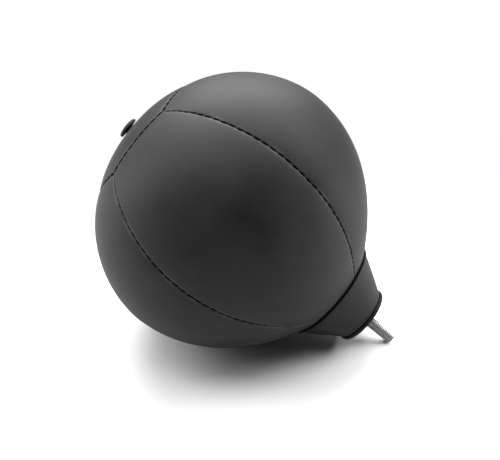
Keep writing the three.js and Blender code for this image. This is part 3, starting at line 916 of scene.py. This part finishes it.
def makePlug(p):
    # A turned stem with barbed ribs, and a dome: radius = the rim's * a power of cosine, height = dome * sine.
    low, high = boxOf("valve_plug")
    radius, under = high[0], high[2] - p["rim"] - p["dome"]
    stemLength = under - low[2]
    pitch = stemLength / (p["ribs"] + 1)
    line = [(0, low[2]), (0.35 * p["waist"], low[2]), (0.6 * p["waist"], low[2] + 0.15 * mm)]
    for rib in range(p["ribs"]):
        z = low[2] + 1 * mm + rib * pitch
        line += [(p["waist"], z), (p["stem"] - 0.1 * mm, z + 1.25 * mm), (p["stem"], z + 1.5 * mm)]
        line += [(p["stem"], z + 1.9 * mm), (p["stem"] - 0.15 * mm, z + 2.1 * mm), (p["waist"], z + 2.4 * mm)]
    line += [(p["waist"], under - 0.7 * mm), (p["waist"] + 0.2 * mm, under - 0.2 * mm)]
    line += [(p["waist"] + 0.8 * mm, under), (radius - 0.9 * mm, under)]
    turn = np.linspace(-math.pi / 2, 0, 6)
    line += [(radius - 0.7 * mm * (1 - math.cos(t)), under + 0.7 * mm * (1 + math.sin(t))) for t in turn]
    rise = np.linspace(0, math.pi / 2, 22)
    crown, height = radius - 0.05 * mm, p["dome"] + 0.25 * p["rim"]
    line += [(crown * math.cos(t) ** 0.85, high[2] - height + height * math.sin(t)) for t in rise[:-1]]
    line += [(0, high[2])]
    grid = turned(line, roundSteps(96))
    piece = addMesh("plug_head", *poleFaces(grid), "plug", "black_rubber", blackRubber)
    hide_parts("valve_plug")
    return piece


plug = makePlug(plugShape)
print("plug made")


kept = {
    "crown_liner": cottonLining,
    "bladder": redRubber,
    "valve_body": blackRubber,
    "neck_core": blackPlastic,
    "neck_binding": waxedCord,
    "bolt_head_pad": woolFelt,
}
for name, material in kept.items():
    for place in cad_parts[name].material_slots:
        place.material = material
print("kept nodes finished")


studio = {
    "floorColour": "#f4f4f4",
    "floorThrown": "#d4d4d4",  # the tone with which the floor lights the ball
    # Each panel: its direction from the ball (along the camera's right, the floor's normal, and the floor
    # towards the camera), its distance and size in metres, and its power in watts.
    "panels": {
        "overhead": ((0.02, 0.97, 0.14), 1.2, (0.85, 0.85), 9.6),
        "overhead left": ((-0.50, 0.85, 0.10), 1.2, (0.6, 0.6), 6.3),
        "overhead back": ((-0.06, 0.74, -0.60), 1.25, (1.3, 0.6), 29),
        "right": ((0.71, 0.68, -0.12), 1.2, (0.65, 0.65), 9.5),
        "left": ((-0.85, 0.45, -0.10), 1.2, (0.5, 0.6), 5.7),
        "low left": ((-0.95, 0.13, -0.20), 1.2, (0.4, 0.5), 3.0),
        "low right": ((0.92, 0.0, -0.10), 1.2, (0.4, 0.3), 5.0),
        "back right": ((0.43, 0.54, -0.72), 1.3, (0.4, 0.4), 1.8),
    },
    "skyBack": 0.3,  # brightness of the white room behind the ball, and of the dark side with the camera
    "skyFront": 0.01,
    "sweepStart": 0.24,  # distance from the contact at which the floor begins to melt into white
    "sweepEnd": 0.42,
}


def makeFloor(s):
    # The ball lies on its side and on the stud's tip: the floor touches the lowest vertex along its normal.
    places = np.concatenate(allPoints)
    contact = places[(places @ floorUp).argmin()]
    side = np.cross(floorUp, floorFront)
    corners = [contact + 4 * (a * side + b * floorFront) for a, b in ((-1, -1), (1, -1), (1, 1), (-1, 1))]
    mesh = bpy.data.meshes.new("floor")
    mesh.from_pydata([tuple(c) for c in corners], [], [(0, 1, 2, 3)])
    mesh.update()
    if np.dot(np.array(mesh.polygons[0].normal), floorUp) < 0:
        mesh.flip_normals()
    floor = bpy.data.objects.new("floor", mesh)
    bpy.context.scene.collection.objects.link(floor)
    material, tree, surface = newMaterial("matte white sweep", Roughness=0.9, Specular_IOR_Level=0.1)
    # It throws less light back on the ball than the camera sees on it: a real sweep is short and dark-edged.
    camera = node(tree, "ShaderNodeLightPath").outputs["Is Camera Ray"]
    pale = node(tree, "ShaderNodeMix", {"Factor": camera},
                {"A": linear(s["floorThrown"]), "B": linear(s["floorColour"])}, data_type="RGBA")
    join(tree, surface, Base_Color=pale.outputs["Result"])
    # It is clear to the camera from beneath and far from the ball, where the white behind it takes over.
    under = node(tree, "ShaderNodeNewGeometry").outputs["Backfacing"]
    place = node(tree, "ShaderNodeTexCoord").outputs["Object"]
    away = node(tree, "ShaderNodeVectorMath", {0: place}, {1: tuple(contact)}, operation="DISTANCE")
    far = node(tree, "ShaderNodeMapRange", {"Value": away.outputs["Value"]},
               {"From Min": s["sweepStart"], "From Max": s["sweepEnd"]}, interpolation_type="SMOOTHSTEP")
    seen = node(tree, "ShaderNodeMath", {0: far.outputs["Result"], 1: camera}, operation="MULTIPLY")
    gone = node(tree, "ShaderNodeMath", {0: seen.outputs[0], 1: under}, operation="MAXIMUM")
    clear = node(tree, "ShaderNodeBsdfTransparent")
    mix = node(tree, "ShaderNodeMixShader", {0: gone.outputs[0], 1: surface.outputs[0], 2: clear.outputs[0]})
    tree.links.new(mix.outputs[0], tree.nodes["Material Output"].inputs["Surface"])
    mesh.materials.append(material)


def makePanel(name, away, distance, size, power):
    direction = away[0] * cameraRight + away[1] * floorUp + away[2] * floorFront
    direction = direction / np.linalg.norm(direction)
    middle = np.array([0, 0, 140 * mm])
    light = bpy.data.lights.new(name, "AREA")
    light.shape = "RECTANGLE"
    light.size, light.size_y = size
    light.energy = power
    lamp = bpy.data.objects.new(name, light)
    lamp.location = middle + direction * distance
    across = np.cross(floorFront, direction)
    across = across / np.linalg.norm(across)
    axes = Matrix((across, np.cross(direction, across), direction)).transposed()
    lamp.rotation_euler = axes.to_euler()
    lamp.visible_camera = False
    bpy.context.scene.collection.objects.link(lamp)


def makeSky(s):
    # Plain white for the camera; as light it is a white room behind the ball that darkens towards the camera.
    world = bpy.data.worlds.new("studio")
    world.use_nodes = True
    tree = world.node_tree
    dim = tree.nodes["Background"]
    dim.inputs["Color"].default_value = (1, 1, 1, 1)
    place = node(tree, "ShaderNodeTexCoord").outputs["Generated"]
    facing = node(tree, "ShaderNodeVectorMath", {0: place}, {1: tuple(floorFront)}, operation="DOT_PRODUCT")
    fade = node(tree, "ShaderNodeMapRange", {"Value": facing.outputs["Value"]},
                {"From Min": -0.5, "From Max": 0.45, "To Min": s["skyBack"], "To Max": s["skyFront"]},
                interpolation_type="SMOOTHSTEP")
    tree.links.new(fade.outputs["Result"], dim.inputs["Strength"])
    pale = node(tree, "ShaderNodeBackground", values={"Color": (1, 1, 1, 1), "Strength": 1.0})
    camera = node(tree, "ShaderNodeLightPath").outputs["Is Camera Ray"]
    mix = node(tree, "ShaderNodeMixShader", {0: camera, 1: dim.outputs[0], 2: pale.outputs[0]})
    tree.links.new(mix.outputs[0], tree.nodes["World Output"].inputs["Surface"])
    bpy.context.scene.world = world


def pointsOf(piece):
    places = np.empty(len(piece.data.vertices) * 3, np.float32)
    piece.data.vertices.foreach_get("co", places)
    return places.reshape(-1, 3).astype(float)


allPoints = [pointsOf(piece) for piece in (*gores, crownCover, piping, collar, cap, bolt, plug)]
makeFloor(studio)
for name, (away, distance, size, power) in studio["panels"].items():
    makePanel(name, away, distance, size, power)
makeSky(studio)
bpy.context.scene.view_settings.view_transform = "Standard"
print("studio made")
